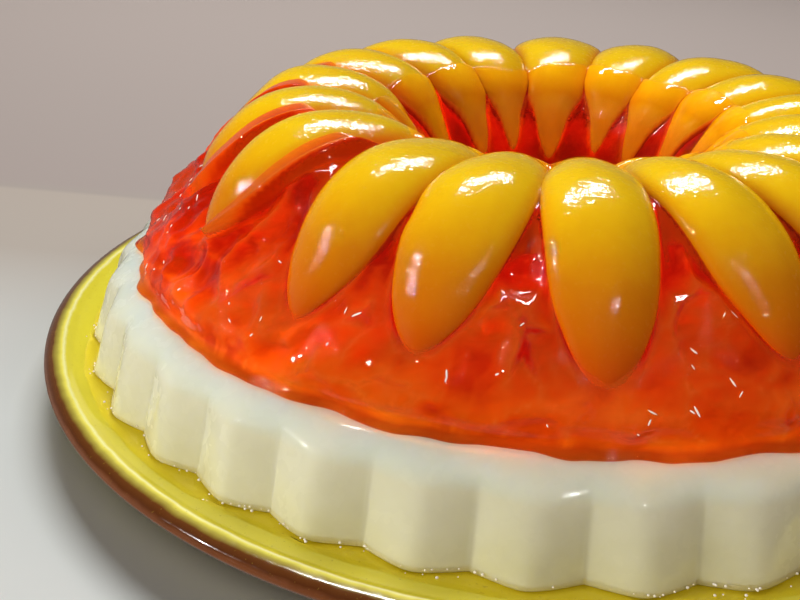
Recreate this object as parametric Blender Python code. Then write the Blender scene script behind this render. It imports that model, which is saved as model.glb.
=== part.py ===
"""A ring-moulded jelly on its plate: a fluted white milk layer at the foot, a clear orange dome over it,
and eighteen peach slices laid over the ring's crest with their backs at the surface.

Metres, +Z up. The origin is under the middle of the plate's foot, on the surface the plate stands on.
"""

import math

import bmesh
import bpy
from mathutils import Vector, noise

MM = 0.001
GAP = 0.3 * MM  # clearance between two pieces that touch

# Plate: a turned coupe plate with a low raised line inside a rolled edge
PLATE_RADIUS = 127.0 * MM
WELL_HEIGHT = 13.5 * MM  # from the table to the flat of the well
PLATE_THICKNESS = 7.0 * MM
LINE_RADIUS = 123.1 * MM  # the raised line
LINE_RISE = 1.2 * MM
EDGE_HALF = 2.8 * MM  # half the thickness of the rolled edge
FOOT_RING_OUTER = 83.0 * MM
FOOT_RING_WIDTH = 7.0 * MM
PLATE_SIDES = 60

# Moulded ring, measured from the well and from the mould's own axis
RING_SHIFT = Vector((-0.9 * MM, 1.8 * MM, 0.0))  # the jelly was turned out a little off centre
FLUTES = 36
FLUTE_PHASE = math.radians(-148.75)  # one ridge points this way
FLUTE_DEPTH = 3.1 * MM
FLUTE_CORNERS = ((-0.09, 0.0), (0.09, 0.0), (0.5, 1.0))  # (share of the pitch, share of the depth)
FOOT_RADIUS = 117.4 * MM
FLUTE_TOP = 15.2 * MM  # height at which the flutes run out into the shoulder
FLUTE_TOP_RADIUS = 112.8 * MM
BORDER_RADIUS = 104.8 * MM  # where the orange dome meets the milk layer
BORDER_HEIGHT = 19.8 * MM
HOLE_RADIUS = 25.0 * MM
HOLE_DRAFT = 1.2 * MM  # the hole narrows by this much from the border to the foot

# Dome: a tube of jelly bent round the mould's axis
TUBE_RADIUS = 61.5 * MM  # from the axis to the middle of the tube
TUBE_HEIGHT = 21.0 * MM
DOME_THICKNESS = 35.9 * MM  # from the middle of the tube to the jelly's surface
DOME_FLARE = 6.6 * MM  # the outer skirt spreads by this much at the border
FLARE_ANGLE = math.radians(17.0)
FLANK_FLAT = 1.9 * MM  # the outer flank is this much flatter than a round tube
FLANK_AT = math.radians(38.0)
FLANK_SPREAD = math.radians(24.0)
LUMP_DEPTH = 0.9 * MM
LUMPS_ROUND = 5.2  # radius of the circle the lumps are read along: larger makes more of them
LUMPS_OVER = 3.8  # how fast they change from the border over the crest
DOME_SIDES = 60
DOME_ROWS = 12

# Peach slices: crescents with a rounded back, cut from a fruit of about this radius
BACK_RADIUS = 38.3 * MM
SLICE_WIDTH = 21.8 * MM
SLICE_DEPTH = 15.0 * MM  # from the back to the edge at the stone
BACK_BULGE = 3.4 * MM  # how far the middle of the back stands over its two edges
WIDEST_AT = math.radians(68.0)  # angle round the tube where a slice is widest
OUTER_TIP_AT = math.radians(9.0)
INNER_TIP_AT = math.radians(154.0)
OUTER_FULLNESS = 2.3  # how long the width holds towards the outer tip
INNER_FULLNESS = 1.9  # and towards the inner one
TIP_SUNK = 2.0 * MM  # both tips lie this far under the back's arc
WALL = 0.7 * MM  # half the jelly left between two slices that nearly touch
SLICE_ROWS = 8
# Each slice: its direction round the ring, how far its outer tip swings from that, and how far it is
# pushed over the crest towards the hole, in degrees; its share of the full width; and how pointed its
# tips are (0.5 is blunt, 0.8 is sharp)
SLICES = (
    (-82.5, 0.5, 0.0, 1.02, 0.50),
    (-100.0, -3.0, 3.0, 1.05, 0.60),
    (-117.5, -1.0, 3.0, 1.00, 0.68),
    (-139.5, -2.0, 13.0, 0.98, 0.66),
    (-158.5, 1.0, 10.0, 0.96, 0.62),
    (-178.5, 2.0, 8.0, 1.00, 0.60),
    (158.5, 6.0, 6.0, 1.04, 0.60),
    (136.5, 9.0, 5.0, 1.10, 0.56),
    (114.0, 4.0, 2.0, 1.02, 0.64),
    (94.5, -1.0, 6.0, 1.16, 0.56),
    (72.5, 0.0, 1.0, 1.08, 0.60),
    (50.5, -4.0, 4.0, 1.12, 0.58),
    (29.5, -2.0, 2.0, 1.04, 0.62),
    (9.5, 1.0, 0.0, 0.98, 0.66),
    (-9.5, -1.0, 5.0, 1.02, 0.60),
    (-28.5, 1.0, 2.0, 0.97, 0.64),
    (-46.5, 3.0, 4.0, 1.00, 0.60),
    (-64.0, 3.5, 5.0, 1.00, 0.64),
)


def material(name, colour, roughness):
    made = bpy.data.materials.new(name)
    made.use_nodes = True
    shader = made.node_tree.nodes["Principled BSDF"]
    shader.inputs["Base Color"].default_value = (*colour, 1.0)
    shader.inputs["Roughness"].default_value = roughness
    shader.inputs["Metallic"].default_value = 0.0
    return made


def polar(radius, azimuth, height):
    return Vector((radius * math.cos(azimuth), radius * math.sin(azimuth), height))


def skin(bm, rings, loop):
    """Triangles between neighbouring rings. A ring of one point is a pole; loop joins the last to the first."""
    rows = [[bm.verts.new(point) for point in ring] for ring in rings]
    pairs = list(zip(rows, rows[1:]))
    if loop:
        pairs.append((rows[-1], rows[0]))
    for low, high in pairs:
        count = max(len(low), len(high))
        for i in range(count):
            near = [low[i % len(low)], low[(i + 1) % len(low)]]
            far = [high[(i + 1) % len(high)], high[i % len(high)]]
            bm.faces.new(dict.fromkeys(near + far))
    bmesh.ops.recalc_face_normals(bm, faces=bm.faces[:])
    bmesh.ops.triangulate(bm, faces=bm.faces[:], quad_method="FIXED")


def new_object(name, rings, loop, finish, sharp=math.radians(35.0)):
    """A closed mesh object from rings of points, shaded smooth but for edges over the sharp angle."""
    mesh = bpy.data.meshes.new(name)
    bm = bmesh.new()
    skin(bm, rings, loop)
    bm.to_mesh(mesh)
    bm.free()
    mesh.shade_smooth()
    mesh.set_sharp_from_angle(angle=sharp)
    made = bpy.data.objects.new(name, mesh)
    bpy.context.collection.objects.link(made)
    mesh.materials.append(finish)
    return made


def rolled_edge():
    """Outline of the rim from the raised line over the edge, as (radius, height over the well)."""
    reach = PLATE_RADIUS - LINE_RADIUS
    points = []
    for step in range(1, 5):
        turn = math.radians(step * 32.0)
        out = LINE_RADIUS + reach * math.sin(min(turn, math.pi / 2))
        points.append((out, LINE_RISE - EDGE_HALF * (1.0 - math.cos(turn))))
    return points


def plate_outline():
    """(radius, height over the well) from the middle of the top, round the rim, to the middle underneath."""
    under = -PLATE_THICKNESS
    foot_in = FOOT_RING_OUTER - FOOT_RING_WIDTH
    top = [(0.0, 0.0), (70.0 * MM, 0.0), (119.0 * MM, 0.0), (121.3 * MM, 0.6 * MM), (LINE_RADIUS, LINE_RISE)]
    below = [
        (118.0 * MM, -5.4 * MM),
        (FOOT_RING_OUTER + 3.0 * MM, under - 1.0 * MM),
        (FOOT_RING_OUTER, -WELL_HEIGHT + 0.6 * MM),
        (FOOT_RING_OUTER - 0.8 * MM, -WELL_HEIGHT),
        (foot_in + 0.8 * MM, -WELL_HEIGHT),
        (foot_in, -WELL_HEIGHT + 0.6 * MM),
        (foot_in - 2.5 * MM, under - 0.6 * MM),
        (0.0, under),
    ]
    return top + rolled_edge() + below


def build_plate(finish):
    rings = []
    for radius, height in plate_outline():
        sides = PLATE_SIDES if radius > 0.0 else 1
        rings.append([polar(radius, math.tau * i / sides, WELL_HEIGHT + height) for i in range(sides)])
    return new_object("plate", rings, False, finish)


def milk_outline():
    """(radius, height, share of the flute depth) from the foot's edge over the shoulder and down the hole."""
    hole_top = HOLE_RADIUS + GAP
    return (
        (FOOT_RADIUS - 0.7 * MM, GAP, 1.0),
        (FOOT_RADIUS, 1.1 * MM, 1.0),
        ((FOOT_RADIUS + FLUTE_TOP_RADIUS) / 2.0 + 0.4 * MM, FLUTE_TOP * 0.52, 1.0),
        (FLUTE_TOP_RADIUS, FLUTE_TOP, 0.9),
        (110.9 * MM, 17.1 * MM, 0.4),
        (108.2 * MM, 18.7 * MM, 0.12),
        (BORDER_RADIUS, BORDER_HEIGHT, 0.0),
        (hole_top, BORDER_HEIGHT, 0.0),
        (hole_top - HOLE_DRAFT, GAP, 0.0),
    )


def build_milk_layer(finish):
    rings = []
    for radius, height, share in milk_outline():
        ring = []
        for flute in range(FLUTES):
            for along, sunk in FLUTE_CORNERS:
                azimuth = FLUTE_PHASE + math.tau * (flute + along) / FLUTES
                depth = FLUTE_DEPTH * share * sunk
                ring.append(polar(radius - depth, azimuth, WELL_HEIGHT + height) + RING_SHIFT)
        rings.append(ring)
    return new_object("milk_layer", rings, True, finish, math.radians(20.0))


def tube_point(azimuth, angle, reach):
    """A point at the given reach and angle from the tube's middle; angle 0 points outwards, 90 degrees up."""
    radius = TUBE_RADIUS + reach * math.cos(angle)
    return polar(radius, azimuth, WELL_HEIGHT + TUBE_HEIGHT + reach * math.sin(angle)) + RING_SHIFT


def flank(angle):
    """How far the surface at an angle round the tube lies inside a round tube."""
    return FLANK_FLAT * math.exp(-(((angle - FLANK_AT) / FLANK_SPREAD) ** 2))


def dome_reach(azimuth, angle):
    """How far the jelly's surface is from the tube's middle, with the skirt's flare and the mould's lumps."""
    flare = DOME_FLARE * math.exp(-((angle / FLARE_ANGLE) ** 2)) - flank(angle)
    spot = polar(LUMPS_ROUND, azimuth, LUMPS_OVER * angle)
    fade = max(math.sin(angle), 0.0) ** 0.5  # none at either foot of the dome
    lump = LUMP_DEPTH * noise.noise(spot) * fade
    return DOME_THICKNESS + flare + lump


def build_dome(finish):
    floor = WELL_HEIGHT + BORDER_HEIGHT + GAP
    rings = []
    for row in range(DOME_ROWS + 1):
        angle = math.pi * row / DOME_ROWS
        ring = []
        for side in range(DOME_SIDES):
            azimuth = math.tau * side / DOME_SIDES
            point = tube_point(azimuth, angle, dome_reach(azimuth, angle))
            if row in (0, DOME_ROWS):
                point.z = floor
            ring.append(point)
        rings.append(ring)
    return new_object("orange_jelly", rings, True, finish, math.radians(50.0))


def slice_share(cut, angle):
    """Share of the full width and depth at an angle round the tube: 1 at the widest place, 0 at both tips."""
    pushed, point = math.radians(cut[2]), cut[4]
    past = angle - pushed - WIDEST_AT
    if past < 0.0:
        away = -past / (WIDEST_AT - OUTER_TIP_AT)
        return max(1.0 - away**OUTER_FULLNESS, 0.0) ** point
    away = past / (INNER_TIP_AT - WIDEST_AT)
    return max(1.0 - away**INNER_FULLNESS, 0.0) ** (point + 0.1)


def slice_bearing(cut, angle):
    """Direction of a slice's middle at an angle round the tube."""
    return math.radians(cut[0] + cut[1] * math.cos(angle))


def half_width(cut, neighbour, angle):
    """Half the slice's width towards one neighbour, which it never reaches past the middle between them."""
    room = slice_bearing(neighbour, angle) - slice_bearing(cut, angle)
    room = abs(math.remainder(room, math.tau)) * (TUBE_RADIUS + BACK_RADIUS * math.cos(angle))
    return min(0.5 * SLICE_WIDTH * cut[3] * slice_share(cut, angle), 0.5 * room - WALL)


def section_side(half, depth, bulge):
    """One side of a cross section as (sideways, depth under the back's middle)."""
    return ((0.62 * half, 0.3 * bulge), (half, bulge), (0.12 * half, depth))


def slice_rings(before, cut, after):
    """Cross sections from the outer tip to the inner one, each a loop of points, with a pole at both tips."""
    rings = []
    for row in range(SLICE_ROWS + 1):
        eased = 0.5 - 0.5 * math.cos(math.pi * row / SLICE_ROWS)
        angle = OUTER_TIP_AT + (INNER_TIP_AT - OUTER_TIP_AT) * eased + math.radians(cut[2])
        turned = slice_bearing(cut, angle)
        reach = BACK_RADIUS - flank(angle)
        if row in (0, SLICE_ROWS):
            rings.append([tube_point(turned, angle, reach - TIP_SUNK)])
            continue
        inward = tube_point(turned, angle, 0.0) - tube_point(turned, angle, 1.0)
        sideways = Vector((-math.sin(turned), math.cos(turned), 0.0))
        back = tube_point(turned, angle, reach)
        share = slice_share(cut, angle)
        shape = (SLICE_DEPTH * cut[3] * share**0.8, BACK_BULGE * share)
        right = section_side(half_width(cut, after, angle), *shape)
        left = section_side(half_width(cut, before, angle), *shape)
        loop = [(0.0, 0.0), *right] + [(-side, deep) for side, deep in reversed(left)]
        rings.append([back + sideways * side + inward * deep for side, deep in loop])
    return rings


def slice_cuts():
    """Each slice between its two neighbours, as (the one on its left, itself, the one on its right)."""
    count = len(SLICES)
    return [(SLICES[(i + 1) % count], SLICES[i], SLICES[i - 1]) for i in range(count)]


def build_slices(finish):
    for number, (before, cut, after) in enumerate(slice_cuts(), start=1):
        new_object(f"peach_slice_{number:02d}", slice_rings(before, cut, after), False, finish)


def cut_pockets(jelly):
    """Takes room for every slice, with its clearance, out of the jelly."""
    bm = bmesh.new()
    for before, cut, after in slice_cuts():
        skin(bm, slice_rings(before, cut, after), False)
    bm.normal_update()
    for vert in bm.verts:
        vert.co += vert.normal * vert.calc_shell_factor() * GAP
    mesh = bpy.data.meshes.new("pocket_cutter")
    bm.to_mesh(mesh)
    bm.free()
    cutter = bpy.data.objects.new("pocket_cutter", mesh)
    bpy.context.collection.objects.link(cutter)
    cutter.hide_render = True
    cutter.display_type = "WIRE"
    pockets = jelly.modifiers.new("Pockets", "BOOLEAN")
    pockets.operation = "DIFFERENCE"
    pockets.solver = "EXACT"
    pockets.object = cutter


def main():
    for old in list(bpy.data.objects):
        bpy.data.objects.remove(old)
    build_plate(material("yellow glaze", (0.72, 0.68, 0.04), 0.15))
    build_milk_layer(material("milk jelly", (0.72, 0.72, 0.58), 0.2))
    jelly = build_dome(material("orange jelly", (0.72, 0.08, 0.01), 0.08))
    build_slices(material("peach", (0.80, 0.50, 0.01), 0.3))
    cut_pockets(jelly)


main()
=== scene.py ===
"""Looks of a ring-moulded peach jelly on its plate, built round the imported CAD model.

Every food piece and the plate get a fine mesh in place of their plain CAD solid. All lengths are metres.
"""

import math

import bmesh
import bpy
import numpy as np
from mathutils import Matrix, Quaternion, Vector, noise


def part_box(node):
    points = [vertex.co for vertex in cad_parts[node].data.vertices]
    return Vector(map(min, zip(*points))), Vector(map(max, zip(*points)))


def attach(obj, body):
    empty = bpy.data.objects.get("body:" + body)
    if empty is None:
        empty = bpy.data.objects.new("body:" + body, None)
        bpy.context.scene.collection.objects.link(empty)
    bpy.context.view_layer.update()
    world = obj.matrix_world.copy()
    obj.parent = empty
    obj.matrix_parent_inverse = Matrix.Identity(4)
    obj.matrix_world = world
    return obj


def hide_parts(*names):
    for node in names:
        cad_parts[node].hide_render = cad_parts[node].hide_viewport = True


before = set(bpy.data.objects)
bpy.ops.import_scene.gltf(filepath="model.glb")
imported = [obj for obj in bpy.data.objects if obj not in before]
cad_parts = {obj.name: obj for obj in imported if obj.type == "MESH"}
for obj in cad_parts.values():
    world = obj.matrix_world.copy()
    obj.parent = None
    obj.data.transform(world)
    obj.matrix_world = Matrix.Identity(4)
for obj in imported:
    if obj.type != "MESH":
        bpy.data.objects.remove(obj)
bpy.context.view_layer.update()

noise.seed_set(1)  # noise_vector is shifted by this seed, or else by the clock
MM = 0.001
SINK = 0.5 * MM  # how far a wet piece reaches into the one under it, so that no air shows between them

# Places taken from the CAD model
PLATE_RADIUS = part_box("plate")[1].x
MILK_LOW, MILK_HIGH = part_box("milk_layer")
WELL_HEIGHT = MILK_LOW.z - 0.3 * MM
AXIS = (MILK_LOW + MILK_HIGH) / 2.0
FOOT_RADIUS = (MILK_HIGH.x - MILK_LOW.x) / 2.0
BORDER_HEIGHT = MILK_HIGH.z - WELL_HEIGHT

# Milk layer, as in the CAD model
FLUTES = 36
FLUTE_PHASE = math.radians(-148.75)
FLUTE_DEPTH = 3.1 * MM
FLUTE_TOP = 15.2 * MM
FLUTE_TOP_RADIUS = 112.8 * MM
BORDER_RADIUS = 104.8 * MM
HOLE_RADIUS = 25.3 * MM
HOLE_DRAFT = 1.2 * MM

# Dome: a tube of jelly bent round the mould's axis, as in the CAD model
TUBE_RADIUS = 61.5 * MM
TUBE_HEIGHT = 21.0 * MM
DOME_THICKNESS = 35.9 * MM
DOME_FLARE = 6.6 * MM
FLARE_ANGLE = math.radians(17.0)
FLANK_FLAT = 1.9 * MM
FLANK_AT = math.radians(38.0)
FLANK_SPREAD = math.radians(24.0)

# Peach slices, as in the CAD model
BACK_RADIUS = 38.3 * MM
SLICE_WIDTH = 21.8 * MM
SLICE_DEPTH = 15.0 * MM
BACK_BULGE = 3.4 * MM
WIDEST_AT = math.radians(68.0)
OUTER_TIP_AT = math.radians(13.5)
INNER_TIP_AT = math.radians(154.0)
OUTER_FULLNESS = 2.3
INNER_FULLNESS = 2.4
TIP_SUNK = 2.0 * MM
WALL = 0.7 * MM  # jelly between two slices on the flank
CREST_WALL = -0.9 * MM  # the same where they crowd together, over the crest and down to the hole
FILM_AT = math.radians(110.0)  # where the jelly closes over the slices on the side of the hole
# direction round the ring, swing of the outer tip, push over the crest, share of the width, point of the tips
SLICES = (
    (-82.5, 0.5, 0.0, 1.02, 0.50),
    (-100.0, -3.0, 3.0, 1.05, 0.60),
    (-117.5, -1.0, 3.0, 1.00, 0.68),
    (-139.5, -2.0, 13.0, 0.98, 0.66),
    (-158.5, 1.0, 10.0, 0.96, 0.62),
    (-178.5, 2.0, 8.0, 1.00, 0.60),
    (158.5, 6.0, 6.0, 1.04, 0.60),
    (136.5, 9.0, 5.0, 1.10, 0.56),
    (115.0, 4.0, 2.0, 1.06, 0.64),
    (92.0, -1.0, 6.0, 1.24, 0.56),
    (70.5, 0.0, 1.0, 1.10, 0.60),
    (49.0, -4.0, 4.0, 1.14, 0.58),
    (29.5, -2.0, 2.0, 1.04, 0.62),
    (9.5, 1.0, 0.0, 0.98, 0.66),
    (-9.5, -1.0, 5.0, 1.02, 0.60),
    (-28.5, 1.0, 2.0, 0.97, 0.64),
    (-46.5, 3.0, 4.0, 1.00, 0.60),
    (-64.0, 3.5, 5.0, 1.00, 0.64),
)
# slices that lean over like shingles, by number: how far, in degrees
LEANS = {4: 13.0, 5: 17.0, 6: 18.0, 7: 14.0, 8: 8.0}
MOST_LEAN = 18.0

# The jelly's thin edge over the milk layer's shoulder: (outwards, upwards) in millimetres, row by row
SKIRT = ((-2.2, -1.2), (-0.8, -0.5), (-0.1, 0.1), (0.1, 0.6), (-0.3, 1.05), (-1.3, 1.1))
SKIRT_RADIUS = 105.0 * MM
MILK_SLUMP = 5.4 * MM  # how far the milk layer has slumped inwards on its flattened side, at most
JELLY_COLUMNS = 720
# how many pale beads sit on the jelly as painted glints
GLINT_BEADS = 140
FROTH = 420


# ---------------------------------------------------------------- meshes

def eased(value):
    """0 below 0, 1 above 1, and smooth between."""
    value = np.clip(value, 0.0, 1.0)
    return value * value * (3.0 - 2.0 * value)


def risen(angle, start, span):
    """0 below the start and 1 beyond the span after it, smooth between; both are in degrees."""
    return eased((angle - math.radians(start)) / math.radians(span))


def around(azimuth, middle, spread):
    """1 in one direction round the ring, fading away on both sides of it; both are in degrees."""
    return np.exp(-(((np.remainder(azimuth, math.tau) - math.radians(middle)) / math.radians(spread)) ** 2))


def flattened(azimuth):
    """1 in the middle of the side where the jelly has slumped inwards a little, 0 away from it."""
    return around(azimuth, 174.0, 30.0)


def on_ring(radius, azimuth, height):
    """Points about the mould's axis, height counted from the plate's well."""
    radius, azimuth, height = np.broadcast_arrays(radius, azimuth, height)
    return np.stack([AXIS.x + radius * np.cos(azimuth), AXIS.y + radius * np.sin(azimuth),
                     WELL_HEIGHT + height], axis=-1)


def put(name, data):
    """A new object in the scene."""
    made = bpy.data.objects.new(name, data)
    bpy.context.scene.collection.objects.link(made)
    return made


def grid_faces(rows, columns, wrap_rows):
    """Quads of a grid whose columns close round; the rows close too if wrap_rows is set."""
    index = np.arange(rows * columns).reshape(rows, columns)
    beside = np.roll(index, -1, axis=1)
    if wrap_rows:
        quads = [index, beside, np.roll(beside, -1, axis=0), np.roll(index, -1, axis=0)]
    else:
        quads = [index[:-1], beside[:-1], beside[1:], index[1:]]
    return np.stack(quads, axis=-1).reshape(-1, 4).tolist()


def grid_object(name, points, finish, wrap_rows=True, depth=None):
    """A smooth mesh object from points[row][column]; open rows are closed by a fan over the end rings.

    depth, if given, is a number per point that the material reads as the attribute "depth"."""
    rows, columns = points.shape[:2]
    faces = grid_faces(rows, columns, wrap_rows)
    verts = points.reshape(-1, 3).tolist()
    if not wrap_rows:
        for row, turn in ((0, -1), (rows - 1, 1)):
            ring = [row * columns + i for i in range(columns)][::turn]
            verts.append(points[row].mean(axis=0).tolist())
            centre = len(verts) - 1
            faces += [[ring[i - 1], ring[i], centre] for i in range(columns)]
    mesh = bpy.data.meshes.new(name)
    mesh.from_pydata(verts, [], faces)
    mesh.shade_smooth()
    if depth is not None:
        values = np.zeros(len(verts))
        values[:depth.size] = depth.reshape(-1)
        mesh.attributes.new("depth", "FLOAT", "POINT").data.foreach_set("value", values)
    mesh.materials.append(finish)
    return put(name, mesh)


def smooth_line(points, steps):
    """A Catmull-Rom curve through rows of numbers, with this many steps between neighbours."""
    points = np.array(points, float)
    padded = np.vstack([2 * points[0] - points[1], points, 2 * points[-1] - points[-2]])
    share = np.arange(steps)[:, None] / steps
    spans = []
    for a, b, c, d in zip(padded, padded[1:], padded[2:], padded[3:]):
        spans.append(0.5 * (2 * b + (c - a) * share + (2 * a - 5 * b + 4 * c - d) * share**2
                            + (3 * b - a - 3 * c + d) * share**3))
    return np.vstack(spans + [points[-1:]])


def noise_at(points, size, seed=0.0):
    """Smooth noise, about -1 to 1, at each point, with lumps of this size."""
    shift = Vector((seed, 1.7 * seed, -seed))
    flat = points.reshape(-1, 3) / size
    return np.array([noise.noise(Vector(p) + shift) for p in flat]).reshape(points.shape[:-1])


def basins_at(points, size, warp):
    """Shallow bowls side by side: their height, lowest in the middle, and 1 along the creases between."""
    values = []
    for p in points.reshape(-1, 3):
        q = Vector(p) / size
        q += warp * noise.noise_vector(0.7 * q)
        values.append(noise.voronoi(q)[0][:2])
    near, second = np.moveaxis(np.array(values).reshape(*points.shape[:-1], 2), -1, 0)
    return np.clip((near / 0.6) ** 2, 0.0, 1.4) - 0.5, np.exp(-(((second - near) * size / (0.9 * MM)) ** 2))


# ---------------------------------------------------------------- the tube that dome and slices follow

def tube_points(azimuth, angle, reach):
    """Points at this reach and angle from the tube's middle; angle 0 points outwards, 90 degrees up."""
    crest = eased((angle - math.radians(50.0)) / 0.7)
    inwards = (3.6 + 2.2 * risen(angle, 0.0, 30.0)) * (1.0 - crest)
    radius = TUBE_RADIUS + reach * np.cos(angle) - inwards * MM * flattened(azimuth)
    return on_ring(radius, azimuth, TUBE_HEIGHT + reach * np.sin(angle))


def flank(angle):
    """How far the outer flank is pressed flat."""
    return FLANK_FLAT * np.exp(-(((angle - FLANK_AT) / FLANK_SPREAD) ** 2))


def dome_reach(angle):
    """The plain dome's distance from the tube's middle."""
    return DOME_THICKNESS + DOME_FLARE * np.exp(-((angle / FLARE_ANGLE) ** 2)) - flank(angle)


def slice_share(cut, angle):
    """Share of a slice's full width at an angle round the tube: 1 at the widest place, 0 at both tips."""
    past = angle - math.radians(cut[2]) - WIDEST_AT
    outer = np.clip(-past / (WIDEST_AT - OUTER_TIP_AT), 0.0, 1.0)
    inner = np.clip(past / (INNER_TIP_AT - WIDEST_AT), 0.0, 1.0)
    drawn_in = 1.0 - 0.5 * risen(angle, 117.0, 26.0)
    return np.where(past < 0.0, (1.0 - outer**OUTER_FULLNESS) ** cut[4],
                    (1.0 - inner**INNER_FULLNESS) ** (cut[4] + 0.1) * drawn_in)


def left_cover(azimuth, angle):
    """1 where the dome's far left flank closes over the slices' lower halves, 0 elsewhere."""
    away = np.abs(np.remainder(azimuth + math.radians(355.0), math.tau) - math.pi)
    return eased(1.8 - away / math.radians(17.0)) * (1.0 - risen(angle, 22.0, 24.0))


def inner_sink(angle):
    """How far the slices lie below the jelly's surface on the side of the hole."""
    return 4.5 * MM * risen(angle, 112.0, 45.0)


def slice_bearing(cut, angle):
    """Direction round the ring of a slice's middle line, in radians."""
    return np.radians(cut[0] + cut[1] * np.cos(angle))


def neighbours(number):
    """The slice before, the slice of this number and the slice after, going round the ring."""
    return SLICES[number % len(SLICES)], SLICES[number - 1], SLICES[number - 2]


def half_width(cut, neighbour, angle):
    """Half the slice's width towards one neighbour, never past the middle between them."""
    room = slice_bearing(neighbour, angle) - slice_bearing(cut, angle)
    room = np.abs(np.remainder(room + math.pi, math.tau) - math.pi)
    room = room * (TUBE_RADIUS + BACK_RADIUS * np.cos(angle))
    wall = WALL + (CREST_WALL - WALL) * risen(angle, 58.0, 20.0)
    return np.minimum(0.5 * SLICE_WIDTH * cut[3] * slice_share(cut, angle), 0.5 * room - wall)


# ---------------------------------------------------------------- materials

def new_material(name):
    """A material, its node tree and its Principled shader."""
    made = bpy.data.materials.new(name)
    made.use_nodes = True
    tree = made.node_tree
    return made, tree, tree.nodes["Principled BSDF"]


def add(tree, kind, settings=(), **inputs):
    """A node with its settings, and its inputs set or linked; an underscore in a name stands for a space."""
    made = tree.nodes.new(kind)
    for key, value in dict(settings).items():
        setattr(made, key, value)
    for key, value in inputs.items():
        connect(tree, made.inputs[key.replace("_", " ")], value)
    return made


def connect(tree, socket, value):
    """Links a socket's value to an input, or sets it when it is plain."""
    if isinstance(value, bpy.types.NodeSocket):
        tree.links.new(value, socket)
    else:
        socket.default_value = value


def set_plain(shader, **values):
    """Sets inputs that are the same all over; an underscore in a name stands for a space."""
    for key, value in values.items():
        shader.inputs[key.replace("_", " ")].default_value = value


def depth_of(tree):
    """The number per point that build code stored on the mesh."""
    return add(tree, "ShaderNodeAttribute", {"attribute_name": "depth"}).outputs["Fac"]


def place(tree):
    """The point on the object, in metres."""
    return add(tree, "ShaderNodeTexCoord").outputs["Object"]


def height_of(tree):
    """The height above the table, in metres."""
    return add(tree, "ShaderNodeSeparateXYZ", Vector=place(tree)).outputs["Z"]


def speckle(tree, size, detail=2.0, stretch=(1.0, 1.0, 1.0), seed=0.0):
    """Noise from 0 to 1 with lumps of this size."""
    scaled = add(tree, "ShaderNodeMapping", Vector=place(tree), Scale=stretch, Location=(seed, seed, 0.0))
    made = add(tree, "ShaderNodeTexNoise", Vector=scaled.outputs[0], Scale=1.0 / size, Detail=detail)
    return made.outputs["Fac"]


def distance_from_axis(tree):
    """Distance from the plate's middle, in metres."""
    flat = add(tree, "ShaderNodeVectorMath", {"operation": "MULTIPLY"}, Vector=place(tree))
    flat.inputs[1].default_value = (1.0, 1.0, 0.0)
    return add(tree, "ShaderNodeVectorMath", {"operation": "LENGTH"}, Vector=flat.outputs[0]).outputs["Value"]


def maths(tree, operation, first, second=0.0):
    """One step of arithmetic on two values."""
    made = tree.nodes.new("ShaderNodeMath")
    made.operation = operation
    connect(tree, made.inputs[0], first)
    connect(tree, made.inputs[1], second)
    return made.outputs[0]


def remap(tree, value, low, high, to_low=0.0, to_high=1.0):
    """The value's range from low to high stretched to another range, and kept inside it."""
    made = add(tree, "ShaderNodeMapRange", Value=value, From_Min=low, From_Max=high)
    made.inputs["To Min"].default_value = to_low
    made.inputs["To Max"].default_value = to_high
    return made.outputs[0]


def vary_roughness(tree, shader, size, low, high, detail=2.0):
    """Roughness that drifts between two values in lumps of this size."""
    drift = remap(tree, speckle(tree, size, detail), 0.3, 0.7, low, high)
    connect(tree, shader.inputs["Roughness"], drift)


def ramp(tree, value, stops):
    """Colours along a value from 0 to 1; stops are (place, colour)."""
    made = add(tree, "ShaderNodeValToRGB", Fac=value)
    band = made.color_ramp
    while len(band.elements) < len(stops):
        band.elements.new(0.5)
    for element, (at, colour) in zip(band.elements, stops):
        element.position = at
        element.color = (*colour, 1.0)
    return made.outputs["Color"]


def blend_colour(tree, share, first, second):
    """The first colour where the share is 0, the second where it is 1."""
    made = tree.nodes.new("ShaderNodeMix")
    made.data_type = "RGBA"
    connect(tree, made.inputs[0], share)
    connect(tree, made.inputs[6], first)
    connect(tree, made.inputs[7], second)
    return made.outputs[2]


def bumps(tree, shader, layers, normal_input="Normal"):
    """Fine relief on one of the shader's normals from (height, depth in metres) layers."""
    normal = None
    for height, depth in layers:
        made = add(tree, "ShaderNodeBump", Height=height, Strength=1.0, Distance=depth)
        if normal is not None:
            tree.links.new(normal, made.inputs["Normal"])
        normal = made.outputs[0]
    tree.links.new(normal, shader.inputs[normal_input])


def let_lamps_through(tree, shader, tint):
    """Lamps shine into a clear piece: shadow rays pass, and the volume inside still colours them."""
    clear = add(tree, "ShaderNodeBsdfTransparent", Color=tint)
    path = add(tree, "ShaderNodeLightPath")
    mix = add(tree, "ShaderNodeMixShader", Fac=path.outputs["Is Shadow Ray"])
    tree.links.new(shader.outputs[0], mix.inputs[1])
    tree.links.new(clear.outputs[0], mix.inputs[2])
    tree.links.new(mix.outputs[0], tree.nodes["Material Output"].inputs["Surface"])


def fill(tree, colour, density):
    """Colours the light that passes through a clear piece."""
    inside = add(tree, "ShaderNodeVolumeAbsorption", Color=colour, Density=density)
    tree.links.new(inside.outputs[0], tree.nodes["Material Output"].inputs["Volume"])


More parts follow.
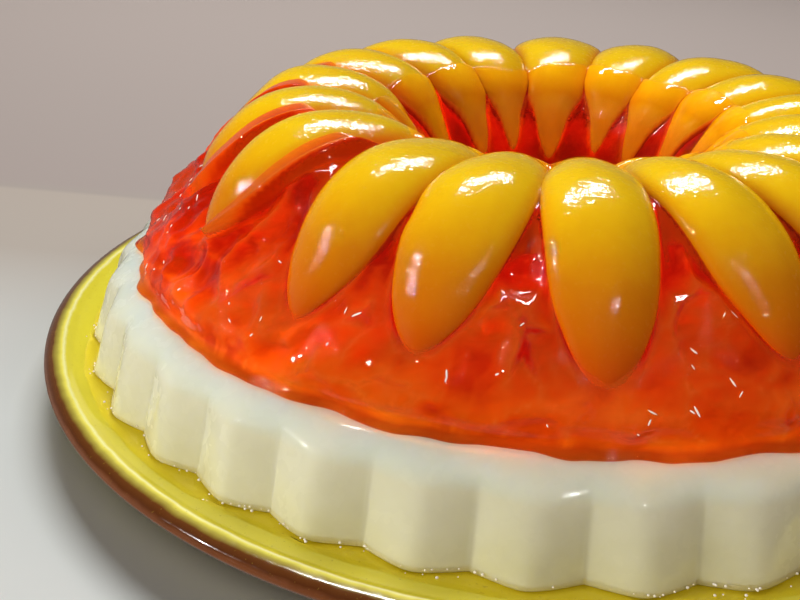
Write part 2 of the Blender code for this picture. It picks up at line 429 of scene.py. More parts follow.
def orange_jelly():
    """Clear where the stored depth is 0, then amber, orange and dark red as it grows; the stored depth
    carries painted shade and painted light besides the jelly's thickness.
    """
    made, tree, shader = new_material("clear orange jelly")
    cloud = remap(tree, speckle(tree, 9.0 * MM, 3.0), 0.3, 0.7, 0.85, 1.15)
    # the stored depth in random clouds; it holds painted shade and painted light
    depth_with_painted_light = maths(tree, "MULTIPLY", depth_of(tree), cloud)
    tint = ramp(tree, depth_with_painted_light, (
        (0.00, (1.00, 0.97, 0.86)),
        (0.12, (0.99, 0.74, 0.24)),
        (0.24, (0.99, 0.46, 0.05)),
        (0.45, (0.99, 0.28, 0.015)),
        (0.68, (0.97, 0.18, 0.006)),
        (0.86, (0.66, 0.075, 0.003)),
        (1.00, (0.46, 0.035, 0.001)),
    ))
    connect(tree, shader.inputs["Base Color"], tint)
    vary_roughness(tree, shader, 2.5 * MM, 0.0, 0.03)
    set_plain(shader, IOR=1.38)
    milky = remap(tree, depth_with_painted_light, 1.12, 1.4, 0.0, 0.6)
    through = maths(tree, "SUBTRACT", remap(tree, depth_with_painted_light, 0.1, 0.4, 1.0, 0.84), milky)
    connect(tree, shader.inputs["Transmission Weight"], through)
    ripple = speckle(tree, 3.0 * MM, 2.0, seed=3.0)
    bumps(tree, shader, ((ripple, 0.12 * MM), (speckle(tree, 0.9 * MM), 0.015 * MM)))
    fill(tree, (0.994, 0.78, 0.20, 1.0), 230.0)
    thin = remap(tree, depth_of(tree), 0.0, 0.4)
    let_lamps_through(tree, shader, blend_colour(tree, thin, (1.0, 1.0, 0.95, 1.0), (1.0, 0.80, 0.45, 1.0)))
    return made


def milk_jelly():
    """Cream, yellower at the foot with painted light thrown up by the yellow plate, and cooler at the top;
    paler and warm under the dome, painted light for the jelly over it.
    """
    made, tree, shader = new_material("white milk jelly")
    cloud = speckle(tree, 14.0 * MM, 3.0)
    up = remap(tree, height_of(tree), WELL_HEIGHT, WELL_HEIGHT + BORDER_HEIGHT)
    # yellower towards the foot: painted light thrown up by the yellow plate
    body = ramp(tree, up, ((0.0, (0.60, 0.57, 0.33)), (0.75, (0.62, 0.59, 0.41)), (1.0, (0.56, 0.65, 0.61))))
    mottled = blend_colour(tree, remap(tree, cloud, 0.35, 0.7, 0.0, 0.35), body, (0.74, 0.72, 0.56, 1.0))
    # painted light: paler and warmer under the dome, so that the jelly over it looks lit from within
    under = remap(tree, distance_from_axis(tree), 103.0 * MM, 98.0 * MM)
    connect(tree, shader.inputs["Base Color"], blend_colour(tree, under, mottled, (0.95, 0.90, 0.78, 1.0)))
    vary_roughness(tree, shader, 4.0 * MM, 0.20, 0.32)
    set_plain(shader, IOR=1.36, Specular_IOR_Level=0.2, Coat_Weight=0.8, Coat_Roughness=0.03)
    set_plain(shader, Subsurface_Weight=1.0, Subsurface_Radius=(0.9, 0.9, 0.7), Subsurface_Scale=4.0 * MM)
    bumps(tree, shader, ((speckle(tree, 2.2 * MM, 3.0), 0.04 * MM),))
    bumps(tree, shader, ((speckle(tree, 4.0 * MM, 2.0, seed=2.0), 0.10 * MM),), "Coat Normal")
    return made


def pale_froth_and_glints():
    """Small bubbles of cream and air; the same pale beads on the jelly are painted glints."""
    made, tree, shader = new_material("pale froth and painted glints")
    cream = ramp(tree, speckle(tree, 3.0 * MM), ((0.3, (0.90, 0.82, 0.66)), (0.7, (0.98, 0.94, 0.84))))
    connect(tree, shader.inputs["Base Color"], cream)
    vary_roughness(tree, shader, 2.0 * MM, 0.05, 0.15)
    set_plain(shader, Coat_Weight=1.0, Coat_Roughness=0.03)
    return made


def peach_flesh():
    """Yellow along the crest and by the hole; darker and more orange lower down, partly painted shade from
    light that falls from above and partly the jelly's tint; orange on the cut faces; bright red-orange on the
    bellies, a painted glow.
    """
    made, tree, shader = new_material("peach flesh")
    streaks = speckle(tree, 3.0 * MM, 4.0, (1.0, 1.0, 0.35))
    # painted shade: darker and more orange lower down, as light falls from above and the jelly throws red
    # light up; partly the jelly's own tint over the lower parts
    shading_tone = remap(tree, height_of(tree), WELL_HEIGHT + 28.0 * MM, WELL_HEIGHT + 58.0 * MM)
    by_hole = remap(tree, distance_from_axis(tree), 50.0 * MM, 38.0 * MM, 0.0, 0.85)
    shading_tone = maths(tree, "MAXIMUM", shading_tone, by_hole)
    shading_tone = maths(tree, "ADD", shading_tone, remap(tree, streaks, 0.3, 0.7, -0.02, 0.02))
    flesh = ramp(tree, shading_tone, (
        (0.00, (0.57, 0.048, 0.001)),
        (0.20, (0.57, 0.088, 0.001)),
        (0.57, (0.62, 0.20, 0.001)),
        (1.00, (0.84, 0.53, 0.003)),
    ))
    side = remap(tree, depth_of(tree), 0.12, 0.40)
    outside = blend_colour(tree, side, flesh, (0.68, 0.13, 0.001, 1.0))
    # painted glow: bright red-orange on the bellies inside the jelly, so the jelly in front of them looks lit
    # from within
    belly_glow = remap(tree, depth_of(tree), 0.40, 0.65)
    connect(tree, shader.inputs["Base Color"], blend_colour(tree, belly_glow, outside, (0.98, 0.17, 0.001, 1.0)))
    vary_roughness(tree, shader, 1.2 * MM, 0.16, 0.30, 3.0)
    set_plain(shader, IOR=1.38, Specular_IOR_Level=0.12, Coat_Weight=0.8, Coat_Roughness=0.03, Coat_IOR=1.6)
    set_plain(shader, Subsurface_Weight=0.35, Subsurface_Radius=(1.0, 0.9, 0.2), Subsurface_Scale=2.0 * MM)
    grain = speckle(tree, 0.8 * MM, 1.0)
    bumps(tree, shader, ((grain, 0.02 * MM),))
    bumps(tree, shader, ((speckle(tree, 2.4 * MM, 2.0), 0.20 * MM), (grain, 0.09 * MM)), "Coat Normal")
    return made


def plate_glaze():
    """Yellow well, a pale raised line, a brown edge, and a brown underside with a bare foot."""
    made, tree, shader = new_material("yellow reactive glaze")
    drift = remap(tree, speckle(tree, 5.0 * MM, 4.0), 0.25, 0.75, -0.25 * MM, 0.25 * MM)
    radius = maths(tree, "ADD", distance_from_axis(tree), drift)
    edge = remap(tree, radius, 118.0 * MM, PLATE_RADIUS)
    top = ramp(tree, edge, (
        (0.00, (0.72, 0.63, 0.035)),
        (0.42, (0.78, 0.69, 0.05)),
        (0.49, (0.92, 0.90, 0.40)),
        (0.55, (0.80, 0.72, 0.10)),
        (0.64, (0.42, 0.36, 0.05)),
        (0.78, (0.12, 0.038, 0.007)),
        (0.92, (0.08, 0.021, 0.004)),
        (1.00, (0.16, 0.050, 0.016)),
    ))
    height = height_of(tree)
    under = remap(tree, height, WELL_HEIGHT - 3.0 * MM, WELL_HEIGHT - 5.0 * MM)
    above_foot = remap(tree, height, 0.0, 2.0 * MM)
    below = ramp(tree, above_foot, ((0.2, (0.50, 0.40, 0.28)), (0.6, (0.11, 0.045, 0.016))))
    whole = blend_colour(tree, under, top, below)
    specks = remap(tree, speckle(tree, 0.7 * MM, 2.0), 0.68, 0.74, 0.0, 0.35)
    whole = blend_colour(tree, specks, whole, (0.30, 0.20, 0.02, 1.0))
    connect(tree, shader.inputs["Base Color"], whole)
    vary_roughness(tree, shader, 3.0 * MM, 0.10, 0.20)
    set_plain(shader, Coat_Weight=0.5, Coat_Roughness=0.06)
    bumps(tree, shader, ((speckle(tree, 6.0 * MM, 2.0), 0.10 * MM), (speckle(tree, 0.9 * MM), 0.015 * MM)))
    return made


def syrup():
    """Clear and faintly yellow."""
    made, tree, shader = new_material("thin syrup")
    cloud = speckle(tree, 5.0 * MM, 3.0)
    tint = ramp(tree, cloud, ((0.3, (1.0, 0.97, 0.88)), (0.7, (1.0, 0.99, 0.94))))
    connect(tree, shader.inputs["Base Color"], tint)
    vary_roughness(tree, shader, 2.0 * MM, 0.02, 0.06)
    set_plain(shader, IOR=1.36, Transmission_Weight=1.0)
    bumps(tree, shader, ((speckle(tree, 3.0 * MM), 0.06 * MM),))
    fill(tree, (0.93, 0.85, 0.40, 1.0), 400.0)
    let_lamps_through(tree, shader, (1.0, 0.98, 0.95, 1.0))
    return made


# ---------------------------------------------------------------- pieces

def build_plate(finish):
    """The turned plate: a flat well, the raised line, the rolled edge and the foot ring."""
    roll = PLATE_RADIUS - 123.1 * MM
    edge = [(123.1 * MM + roll * math.sin(turn), 1.2 * MM - 2.0 * MM * (1.0 - math.cos(turn)))
            for turn in np.radians(np.arange(18.0, 139.0, 12.0))]
    top = [(2.0 * MM, 0.0), (30.0 * MM, 0.0), (60.0 * MM, 0.0), (90.0 * MM, 0.0), (110.0 * MM, 0.0),
           (117.0 * MM, 0.0), (119.0 * MM, 0.05 * MM), (120.4 * MM, 0.25 * MM), (121.5 * MM, 0.75 * MM),
           (122.3 * MM, 1.1 * MM), (123.1 * MM, 1.2 * MM)]
    under = [(121.0 * MM, -3.0 * MM), (118.0 * MM, -4.6 * MM), (108.0 * MM, -6.4 * MM),
             (96.0 * MM, -7.3 * MM), (86.0 * MM, -8.0 * MM), (84.0 * MM, -8.8 * MM), (83.2 * MM, -11.0 * MM),
             (82.9 * MM, -13.0 * MM), (82.2 * MM, -13.5 * MM), (79.5 * MM, -13.5 * MM),
             (76.8 * MM, -13.5 * MM), (76.1 * MM, -13.0 * MM), (75.6 * MM, -11.0 * MM),
             (73.5 * MM, -7.8 * MM), (60.0 * MM, -7.0 * MM), (30.0 * MM, -7.0 * MM), (2.0 * MM, -7.0 * MM)]
    profile = smooth_line(top + edge + under, 3)
    azimuth = np.linspace(0.0, math.tau, 288, endpoint=False)
    radius, height = profile[::-1, 0][:, None], profile[::-1, 1][:, None]
    points = np.stack([radius * np.cos(azimuth), radius * np.sin(azimuth),
                       WELL_HEIGHT + height + 0.0 * azimuth], axis=-1)
    return grid_object("glazed_plate", points, finish, wrap_rows=False)


def flute_sunk(azimuth):
    """How far into a groove a direction lies: 0 on a rounded ridge, 1 in the groove."""
    along = np.remainder((azimuth - FLUTE_PHASE) / (math.tau / FLUTES) + 0.5, 1.0) - 0.5
    nose = 0.12
    rounded = np.sqrt(along**2 + nose**2) - nose
    return rounded / (math.hypot(0.5, nose) - nose)


def milk_foot(azimuth):
    """Radius of the milk layer's foot, grooves included."""
    return FOOT_RADIUS - MILK_SLUMP * flattened(azimuth) - FLUTE_DEPTH * flute_sunk(azimuth)


def build_milk(finish):
    """The fluted layer: outer flutes up to the shoulder, the top under the dome, the hole and the foot."""
    outer = smooth_line([
        (FOOT_RADIUS - 0.9 * MM, 0.2 * MM, 1.0), (FOOT_RADIUS - 0.1 * MM, 0.9 * MM, 1.0),
        (FOOT_RADIUS - 0.7 * MM, 3.5 * MM, 1.0), (FOOT_RADIUS - 1.9 * MM, 7.9 * MM, 0.97),
        (FOOT_RADIUS - 3.1 * MM, 12.0 * MM, 0.87), (FLUTE_TOP_RADIUS, FLUTE_TOP, 0.62),
        (110.9 * MM, 17.1 * MM, 0.32), (108.2 * MM, 18.7 * MM, 0.12), (BORDER_RADIUS, BORDER_HEIGHT, 0.02),
        (101.0 * MM, BORDER_HEIGHT + 0.1 * MM, 0.0)], 6)
    inner = [(80.0 * MM, BORDER_HEIGHT, 0.0), (50.0 * MM, BORDER_HEIGHT, 0.0),
             (27.0 * MM, BORDER_HEIGHT, 0.0),
             (HOLE_RADIUS, BORDER_HEIGHT - 0.8 * MM, 0.0), (HOLE_RADIUS - 0.5 * HOLE_DRAFT, 10.0 * MM, 0.0),
             (HOLE_RADIUS - HOLE_DRAFT, 0.6 * MM, 0.0), (HOLE_RADIUS - 0.5 * MM, 0.2 * MM, 0.0),
             (60.0 * MM, 0.2 * MM, 0.0), (100.0 * MM, 0.2 * MM, 0.0)]
    outline = np.vstack([outer, smooth_line(inner, 3)])
    azimuth = np.linspace(0.0, math.tau, FLUTES * 24, endpoint=False)[None, :]
    radius, height, share = (outline[:, i][:, None] for i in range(3))
    outside = MILK_SLUMP * flattened(azimuth) * eased((radius - 60.0 * MM) / (40.0 * MM))
    points = on_ring(radius - outside - FLUTE_DEPTH * share * flute_sunk(azimuth), azimuth, height)
    wave = 0.35 * MM * noise_at(points, 16.0 * MM, 5.0) + 0.12 * MM * noise_at(points, 4.0 * MM, 9.0)
    spread = on_ring(1.0, azimuth, 0.0) - on_ring(0.0, azimuth, 0.0)
    points += spread * (wave * np.clip(share * 1.5, 0.0, 1.0))[..., None]
    return grid_object("milk_layer_flutes", points, finish)


def slice_section(half_left, half_right, depth, bulge):
    """A slice's section as (sideways, depth) points: rounded back, two cut faces, blunt inner edge."""
    back = ((0.30, 0.08), (0.60, 0.34), (0.84, 0.72), (0.98, 1.15))
    points = [(0.0, 0.0)]
    points += [(side * half_right, deep * bulge) for side, deep in back]
    sides = ((0.97, 0.22), (0.78, 0.52), (0.40, 0.84), (0.12, 1.0))
    points += [(side * half_right, bulge + deep * (depth - bulge)) for side, deep in sides]
    points += [(-side * half_left, bulge + deep * (depth - bulge)) for side, deep in sides[::-1]]
    points += [(-side * half_left, deep * bulge) for side, deep in back[::-1]]
    return points


def rounded_loop(points, times):
    """Chaikin's corner cutting on a closed loop."""
    points = np.array(points, float)
    for _ in range(times):
        after = np.roll(points, -1, axis=0)
        points = np.stack([0.75 * points + 0.25 * after, 0.25 * points + 0.75 * after], axis=1).reshape(-1, 2)
    return points


def leant(loop, lean):
    """The section turned about its back's middle: the side towards +sideways sinks, the other one rises."""
    across, deep = loop[:, 0], loop[:, 1] - BACK_BULGE
    return np.stack([across * math.cos(lean) - deep * math.sin(lean),
                     BACK_BULGE + deep * math.cos(lean) + across * math.sin(lean)], axis=-1)


def build_slice(number, finish):
    """One crescent of peach, laid over the crest with its back at the surface."""
    before, cut, after = neighbours(number)
    lean = LEANS.get(number, 0.0)
    rows = 56
    along = 0.5 - 0.5 * np.cos(math.pi * (np.arange(rows + 1) + 0.25) / (rows + 0.5))
    angles = OUTER_TIP_AT + (INNER_TIP_AT - OUTER_TIP_AT) * along + math.radians(cut[2])
    rings, depths = [], []
    for angle in angles:
        turned = float(slice_bearing(cut, angle))
        share = float(slice_share(cut, angle))
        reach = BACK_RADIUS - float(flank(angle)) - TIP_SUNK * (1.0 - share) ** 3
        reach -= 3.5 * MM * float(left_cover(turned, angle)) + float(inner_sink(angle))
        half_left, half_right = (float(half_width(cut, other, angle)) for other in (before, after))
        section = slice_section(half_left, half_right, SLICE_DEPTH * cut[3] * share**0.8, BACK_BULGE * share)
        loop = leant(rounded_loop(section, 2), math.radians(lean) * share)
        ahead = np.array([math.cos(turned), math.sin(turned), 0.0])
        sideways = np.array([-math.sin(turned), math.cos(turned), 0.0])
        outwards = ahead * math.cos(angle) + np.array([0.0, 0.0, math.sin(angle)])
        back = tube_points(turned, angle, reach)
        rings.append(back + loop[:, :1] * sideways - loop[:, 1:] * outwards)
        # painted shade: a leaning slice turns more orange on its sunk side, which faces down; partly the
        # jelly lapping over it
        shaded_side = eased((loop[:, 0] / half_right + 0.3) / 1.3)
        depths.append(loop[:, 1] / SLICE_DEPTH + lean / MOST_LEAN * 0.26 * shaded_side)
    points = np.array(rings)
    centre = points.mean(axis=1, keepdims=True)
    away = points - centre
    lumps = 0.45 * MM * noise_at(points, 13.0 * MM, float(number))
    lumps += 0.05 * MM * noise_at(points, 3.0 * MM, 3.0 * number)
    points += away / (np.linalg.norm(away, axis=-1, keepdims=True) + 1e-6) * lumps[..., None]
    return grid_object(f"peach_{number:02d}", points, finish, False, np.array(depths))


def slice_gap(azimuth, angle):
    """Distance along the jelly's surface to the nearest slice's edge, negative over a slice; and how far
    the jelly laps over the sunk side of a leaning slice, 0 to 1."""
    nearest = np.full(np.broadcast(azimuth, angle).shape, 1.0)
    lap = np.zeros(nearest.shape)
    radius = TUBE_RADIUS + BACK_RADIUS * np.cos(angle)
    for number in range(1, len(SLICES) + 1):
        before, cut, after = neighbours(number)
        side = (np.remainder(azimuth - slice_bearing(cut, angle) + math.pi, math.tau) - math.pi) * radius
        half = np.where(side > 0.0, half_width(cut, after, angle), half_width(cut, before, angle))
        slant = np.gradient(half, angle[:, 0] * BACK_RADIUS, axis=0)
        past_outer = OUTER_TIP_AT + math.radians(cut[2]) - angle
        past_inner = angle - INNER_TIP_AT - math.radians(cut[2])
        past = np.maximum(np.maximum(past_outer, past_inner), 0.0) * BACK_RADIUS
        beside = (np.abs(side) - half) / np.sqrt(1.0 + slant**2)
        nearest = np.minimum(nearest, np.where(past > 0.0, np.hypot(side, past), beside))
        sunk_side = eased((side / np.maximum(half, MM) + 0.35) / 0.7) * (past <= 0.0)
        sunk_side *= 1.0 - eased((side - half) / (1.6 * MM))
        lap = np.maximum(lap, LEANS.get(number, 0.0) / MOST_LEAN * sunk_side)
    return nearest, lap


def folds_at(points, angle):
    """Folds on the dome's flank, upright hollows above low waves: their height, and how much darker or
    lighter each point
    is painted: painted shade in the hollows, painted highlights along the creases, painted glow and shade in
    random patches."""
    upright, upright_crease = basins_at(points * (1.0, 1.0, 0.62), 13.0 * MM, 0.5)
    waves, wave_crease = basins_at(points * (1.0, 1.0, 2.6), 17.0 * MM, 0.8)
    middle, middle_crease = basins_at(points * (1.0, 1.0, 1.3), 7.5 * MM, 0.9)
    fine, _ = basins_at(points, 4.0 * MM, 0.7)
    low = 1.0 - risen(angle, 6.0, 12.0)
    height = 2.0 * MM * upright * (1.0 - low) + 1.6 * MM * waves * low + 0.7 * MM * middle + 0.3 * MM * fine
    height += 0.9 * MM * noise_at(points, 24.0 * MM, 2.0)
    height += 2.4 * MM * np.clip(noise_at(points, 4.0 * MM, 7.0) - 0.1, 0.0, 0.6) ** 2
    height *= risen(angle, 2.0, 6.0)
    hollow = upright * (1.0 - low) + waves * low
    crease = upright_crease * (1.0 - low) + wave_crease * low
    # painted glow and shade in random patches, then painted shade in the hollows and painted highlights along
    # the creases
    patches = eased(0.5 + 2.4 * noise_at(points, 15.0 * MM, 12.0)) - 0.5
    shading_tone = 0.24 * patches + 0.3 * noise_at(points, 17.0 * MM, 12.0)
    shading_tone -= 0.22 * hollow + 0.24 * crease + 0.12 * middle_crease
    return height, shading_tone


def jelly_depth(azimuth, angle, gap, lap, cover, open_flank):
    """How deep the jelly's colour is over the dome, before the folds: 0 is clear and 1 dark red. It is deeper
    in the gaps between the slices on the upper flank: painted shade.
    """
    left = around(azimuth, 165.0, 38.0)
    sunk = 0.26 * (1.0 - 0.6 * left) * risen(angle, 119.0, 26.0)
    tips = 0.5 * eased((math.radians(27.0) - angle) / math.radians(13.0))
    fade = (3.0 - 1.8 * risen(angle, 30.0, 15.0)) * MM
    depth = np.maximum(np.maximum(eased((gap + 0.5 * MM) / fade), cover), np.maximum(sunk, tips))
    depth *= 0.7 + 0.3 * risen(angle, 24.0, 28.0)
    depth = np.maximum(depth, np.maximum(0.85 * cover, np.clip(0.85 * lap - 0.3, 0.0, 0.5)))
    # painted shade: deeper red in the gaps between the slices on the upper flank
    shaded_wedge = risen(angle, 42.0, 20.0) * open_flank
    depth += 0.55 * shaded_wedge * eased((gap + 0.5 * MM) / (1.2 * MM)) * (1.0 - cover)
    return depth - 0.2 * around(azimuth, 215.0, 40.0) * (1.0 - risen(angle, 6.0, 14.0))


def jelly_dome(azimuth, angle):
    """The dome's points, the depth of colour at each with painted shade and painted light in it, and 1 for
    each point that no slice is near.
    """
    plain = dome_reach(angle) + 0.0 * azimuth
    base = tube_points(azimuth, angle, plain)
    gap, lap = slice_gap(azimuth, angle)
    lap *= 1.0 - risen(angle, 84.0, 14.0)
    cover = left_cover(azimuth, angle)
    clear = np.maximum(eased(gap / (4.0 * MM)), cover)
    edge_drop = 1.1 * BACK_BULGE * slice_share((0.0, 0.0, 4.0, 1.0, 0.62), angle)
    hugged = np.minimum(plain, BACK_RADIUS - flank(angle) - 0.8 * MM - edge_drop - inner_sink(angle))
    hugged = hugged + 4.0 * MM * lap
    saddle = risen(angle, 28.0, 22.0) * (1.0 - risen(angle, 85.0, 15.0))
    reach = hugged + (plain - 3.0 * MM * saddle - hugged) * clear
    reach += 0.5 * MM * np.exp(-((gap / (1.2 * MM)) ** 2)) * (1.0 - cover)
    film_at = FILM_AT + math.radians(7.0) * noise_at(on_ring(60.0 * MM, azimuth, 0.0), 17.0 * MM, 6.0)
    inner = eased((angle - film_at) / math.radians(6.0))
    film = BACK_RADIUS + 0.1 * MM - 2.0 * MM * np.clip(1.0 + gap / (7.0 * MM), 0.0, 1.15) ** 2
    film += 0.25 * MM * noise_at(base, 9.0 * MM, 3.0) - 0.6 * inner_sink(angle)
    reach += (film - reach) * inner
    folds, shading_tone = folds_at(base, angle)
    points = tube_points(azimuth, angle, reach + clear * (1.0 - inner) * folds)
    depth = jelly_depth(azimuth, angle, gap, lap, cover, 1.0 - inner) + shading_tone * clear * (1.0 - inner)
    # painted shade: darker on the left side of the dome; also darker along its lowest rows
    depth += (0.56 * around(azimuth, 188.0, 32.0) + 0.1 * (1.0 - risen(angle, 4.0, 6.0))) * clear
    # painted light: paler towards the front right of the flank
    return points, depth - 0.16 * around(azimuth, 290.0, 20.0) * clear, clear


def jelly_skirt(azimuth):
    """Rows of the thin wavy edge, from inside the milk layer up to the dome's foot."""
    rim = SKIRT_RADIUS - 3.6 * MM * flattened(azimuth)
    rim = rim + 0.7 * MM * np.sin(23.0 * azimuth + 1.3 * np.sin(5.0 * azimuth))
    ring = on_ring(100.0 * MM, azimuth, 0.0)
    rim = rim + 1.9 * MM * noise_at(ring, 8.0 * MM, 4.0)
    rim = rim + 1.2 * MM * noise_at(ring, 24.0 * MM, 8.0)
    return [on_ring(rim + out * MM, azimuth, BORDER_HEIGHT + up * MM)[0] for out, up in SKIRT]


def build_jelly(finish):
    """The clear dome: folds on its flank, a collar against each slice, a thin skirt. Also gives back 1 for
    each of the dome's points that no slice is near."""
    azimuth = np.linspace(0.0, math.tau, JELLY_COLUMNS, endpoint=False)[None, :]
    flank_rows, crest_rows, hole_rows = (3.0, 96.0, 66), (97.0, 131.0, 44), (134.0, 178.0, 12)
    angle = np.concatenate([np.linspace(*rows) for rows in (flank_rows, crest_rows, hole_rows)])
    angle = np.radians(angle)[:, None]
    dome, depth, clear = jelly_dome(azimuth, angle)
    skirt = jelly_skirt(azimuth)
    floor = BORDER_HEIGHT - SINK
    under = [on_ring(radius * MM, azimuth, floor)[0] for radius in (25.6, 40.0, 60.0, 80.0, 93.0)]
    points = np.concatenate([np.array(skirt), dome, np.array(under)])
    foot = np.tile(1.0 - 0.14 * around(azimuth, 215.0, 40.0), (len(skirt), 1))
    depth = np.concatenate([foot, depth, np.full((len(under), JELLY_COLUMNS), 0.7)])
    return grid_object("clear_jelly", points, finish, depth=depth), clear


def pebbles(name, spots, finish):
    """Small smooth drops in one mesh; spots are (centre, outward direction, half sizes, turn)."""
    ball = bmesh.new()
    bmesh.ops.create_icosphere(ball, subdivisions=2, radius=1.0)
    unit = np.array([vert.co for vert in ball.verts])
    sides = np.array([[vert.index for vert in face.verts] for face in ball.faces])
    ball.free()
    verts, faces = [], []
    for centre, outward, sizes, turn in spots:
        facing = Vector(outward).to_track_quat("Z", "Y") @ Quaternion((0.0, 0.0, 1.0), turn)
        faces += (sides + len(verts) * len(unit)).tolist()
        verts.append(np.array(centre) + (unit * sizes) @ np.array(facing.to_matrix()).T)
    mesh = bpy.data.meshes.new(name)
    mesh.from_pydata(np.concatenate(verts).tolist(), [], faces)
    mesh.shade_smooth()
    mesh.materials.append(finish)
    return put(name, mesh)


def build_painted_glints(jelly, clear, finish):
    """Little pale beads at the surface of the jelly's flank, longer than wide: painted glints in place of
    highlights.
    """
    chance = np.random.default_rng(11)
    spots = []
    while len(spots) < GLINT_BEADS:
        row, column = int(chance.integers(2, 26)), int(chance.integers(0, JELLY_COLUMNS))
        size, stretch, turn = chance.uniform(0.12, 0.24), chance.uniform(1.5, 6.0), chance.uniform(-0.9, 0.9)
        if clear[row, column] < 0.4 or chance.uniform() < row / 30.0:
            continue
        vert = jelly.data.vertices[(row + len(SKIRT)) * JELLY_COLUMNS + column]
        spots.append((vert.co, vert.normal, (size * MM, size * stretch * MM, 0.6 * size * MM), turn))
    return pebbles("painted_glints_on_jelly", spots, finish)


def build_foam(finish):
    """Froth in the crook between the milk layer and the plate."""
    chance = np.random.default_rng(5)
    spots = []
    for azimuth in chance.uniform(0.0, math.tau, FROTH):
        foot = float(milk_foot(azimuth))
        size = chance.uniform(0.12, 0.32) * MM
        off = chance.uniform(0.0, 1.0) ** 3
        centre = on_ring(foot + (0.1 + 2.0 * off) * MM, azimuth, (1.5 - 0.9 * off) * MM)
        spots.append((centre, (0.0, 0.0, 1.0), (size, size, 0.8 * size), 0.0))
    return pebbles("milk_foam", spots, finish)


def build_syrup(finish):
    """A thin wet film on the well round the foot, with a meniscus up the milk layer."""
    azimuth = np.linspace(0.0, math.tau, 720, endpoint=False)[None, :]
    outside = FOOT_RADIUS - MILK_SLUMP * flattened(azimuth)
    foot = milk_foot(azimuth)
    ring = on_ring(FOOT_RADIUS, azimuth, 0.0)
    edge = outside + 1.6 * MM
    edge = edge + 1.7 * MM * noise_at(ring, 20.0 * MM, 1.0) + 0.5 * MM * noise_at(ring, 5.0 * MM, 8.0)
    edge = np.clip(edge, outside + 0.2 * MM, outside + 4.0 * MM)
    rows = [(foot - 2.0 * MM, -SINK), (edge - 0.1 * MM, -SINK), (edge, 0.1 * MM),
            (edge - 0.25 * MM, 0.35 * MM), (edge - 0.8 * MM, 0.5 * MM), (0.5 * (edge + foot), 0.6 * MM),
            (foot + 0.9 * MM, 0.75 * MM), (foot + 0.3 * MM, 1.2 * MM), (foot - 0.3 * MM, 1.9 * MM),
            (foot - 2.0 * MM, 1.9 * MM)]
    points = np.concatenate([on_ring(radius, azimuth, height) for radius, height in rows])
    return grid_object("syrup_film", points, finish)


# ---------------------------------------------------------------- stage

def build_stage():
    """A pale table, palest at the front and darker towards the back, painted light falling off; from a soft
    line behind the plate, a warmer, darker backdrop tone.
    """
    made, tree, shader = new_material("pale table")
    behind = add(tree, "ShaderNodeSeparateXYZ", Vector=place(tree)).outputs["Y"]
    # painted light: palest at the front, falling off towards the back; behind a soft line, a warmer, darker
    # backdrop tone
    colour = ramp(tree, remap(tree, behind, -0.06, 0.10), (
        (0.00, (0.78, 0.82, 0.79)),
        (0.30, (0.67, 0.68, 0.64)),
        (0.62, (0.51, 0.46, 0.40)),
        (0.94, (0.50, 0.44, 0.38)),
        (0.96, (0.43, 0.38, 0.34)),
        (1.00, (0.43, 0.37, 0.34)),
    ))
    connect(tree, shader.inputs["Base Color"], colour)
    set_plain(shader, Roughness=0.6)
    mesh = bpy.data.meshes.new("floor")
    mesh.from_pydata([(-3, -3, 0), (3, -3, 0), (3, 3, 0), (-3, 3, 0)], [], [(0, 1, 2, 3)])
    mesh.materials.append(made)
    floor = put("floor", mesh)
    floor.visible_glossy = False
    return floor


def build_world():
    """A dim room, with paler walls on the side away from the table's back right corner."""
    world = bpy.data.worlds.new("studio")
    world.use_nodes = True
    tree = world.node_tree
    back = tree.nodes["Background"]
    direction = add(tree, "ShaderNodeTexCoord").outputs["Generated"]
    height = add(tree, "ShaderNodeSeparateXYZ", Vector=direction).outputs["Z"]
    up = remap(tree, height, -1.0, 1.0)
    lit = ramp(tree, up, (
        (0.22, (0.60, 0.55, 0.48)),
        (0.32, (0.10, 0.10, 0.10)),
        (0.46, (0.66, 0.62, 0.58)),
        (0.60, (0.40, 0.38, 0.36)),
        (0.75, (0.08, 0.08, 0.085)),
    ))
    dark = ramp(tree, up, (
        (0.22, (0.60, 0.55, 0.48)),
        (0.32, (0.04, 0.04, 0.04)),
        (0.70, (0.06, 0.06, 0.06)),
        (0.90, (0.12, 0.12, 0.13)),
    ))
    behind = add(tree, "ShaderNodeVectorMath", {"operation": "DOT_PRODUCT"}, Vector=direction)
    behind.inputs[1].default_value = (-0.8, 0.6, 0.0)
    side = remap(tree, behind.outputs["Value"], 0.0, 0.8)
    connect(tree, back.inputs["Color"], blend_colour(tree, side, dark, lit))
    set_plain(back, Strength=0.40)
    world.cycles_visibility.transmission = False
    bpy.context.scene.world = world


def add_lamp(name, place_at, aim, size, watts, colour=(1.0, 1.0, 1.0), mirrored=True, turn=0.0):
    """A rectangular soft lamp at a point, facing another; one that isn't mirrored gives no highlight."""
    lamp = bpy.data.lights.new(name, "AREA")
    lamp.shape = "RECTANGLE"
    lamp.size, lamp.size_y = size
    lamp.energy = watts
    lamp.color = colour
    made = put(name, lamp)
    made.location = place_at
    facing = (Vector(aim) - Vector(place_at)).to_track_quat("-Z", "Y")
    made.rotation_euler = (facing @ Quaternion((0.0, 0.0, 1.0), turn)).to_euler()
    made.visible_glossy = mirrored
    made.visible_transmission = False
    return made


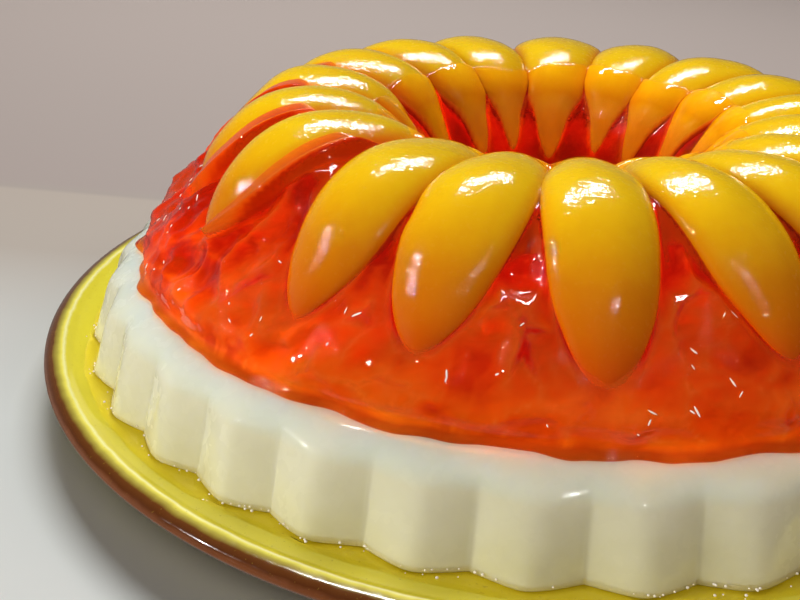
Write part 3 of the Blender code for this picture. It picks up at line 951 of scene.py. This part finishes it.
def build_lamps(floor):
    """One low soft window, a soft key from behind, weak warm fills, and two lamps that show as highlights."""
    centre = (0.0, 0.0, 0.05)
    window = add_lamp("window", (-0.90, -0.60, 0.30), centre, (0.9, 0.4), 9.1, (1.0, 1.0, 0.97), False)
    add_lamp("room", (0.35, -1.00, 0.27), centre, (0.9, 0.4), 0.8, (1.0, 0.84, 0.82), False)
    add_lamp("ceiling", (0.10, -0.75, 0.70), centre, (0.7, 0.4), 1.85, (1.0, 0.87, 0.84), False)
    add_lamp("side", (0.80, 0.10, 0.70), centre, (0.6, 0.5), 2.0, (1.0, 0.87, 0.84), False)
    add_lamp("back", (-0.45, 0.75, 0.70), centre, (0.4, 0.25), 3.8, (1.0, 0.98, 0.95), False)
    add_lamp("strip", (-0.08, 0.52, 0.92), centre, (0.62, 0.08), 6.2, turn=math.radians(20.0))
    left = add_lamp("spot left", (-0.72, -0.27, 0.60), centre, (0.022, 0.022), 1.0)
    right = add_lamp("spot right", (0.33, -0.60, 0.66), centre, (0.018, 0.020), 0.48)
    spared = bpy.data.collections.new("not lit by the window")
    spared.objects.link(floor)
    spared.collection_objects[0].light_linking.link_state = "EXCLUDE"
    for lamp in (window, left, right):
        lamp.light_linking.receiver_collection = spared


def build_camera():
    """The camera stands close in front of the plate, looks down on it and leans a little."""
    yaw, pitch, roll = -0.1434, 0.434, 0.036
    ahead = Vector((math.sin(yaw) * math.cos(pitch), math.cos(yaw) * math.cos(pitch), -math.sin(pitch)))
    right = Vector((math.cos(yaw), -math.sin(yaw), 0.0))
    up = right.cross(ahead)
    side = right * math.cos(roll) + up * math.sin(roll)
    top = up * math.cos(roll) - right * math.sin(roll)
    lens = bpy.data.cameras.new("camera")
    lens.sensor_width = 36.0
    lens.lens = 49.22
    lens.clip_start = 0.01
    camera = put("camera", lens)
    turned = Matrix((side, top, -ahead)).transposed().to_4x4()
    camera.matrix_world = Matrix.Translation((0.0, -0.26642, 0.13731)) @ turned
    bpy.context.scene.camera = camera


def stand_for(piece, node):
    """Puts a piece on the one body, in place of a CAD node if one is named."""
    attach(piece, "root")
    if node:
        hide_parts(node)


def set_light_paths(scene):
    """Bounces enough for light to cross the jelly and the slices in it."""
    scene.cycles.caustics_reflective = True
    scene.cycles.caustics_refractive = True
    scene.cycles.max_bounces = 14
    scene.cycles.transmission_bounces = 12
    scene.cycles.transparent_max_bounces = 16


def main():
    stand_for(build_plate(plate_glaze()), "plate")
    stand_for(build_milk(milk_jelly()), "milk_layer")
    dome, clear = build_jelly(orange_jelly())
    stand_for(dome, "orange_jelly")
    froth_and_glints = pale_froth_and_glints()
    # pale beads on the jelly: painted glints
    stand_for(build_painted_glints(dome, clear, froth_and_glints), None)
    stand_for(build_foam(froth_and_glints), None)
    flesh = peach_flesh()
    for number in range(1, len(SLICES) + 1):
        stand_for(build_slice(number, flesh), f"peach_slice_{number:02d}")
    stand_for(build_syrup(syrup()), None)
    floor = build_stage()
    build_world()
    build_lamps(floor)
    build_camera()
    bpy.context.scene.view_settings.view_transform = "Standard"
    set_light_paths(bpy.context.scene)


main()
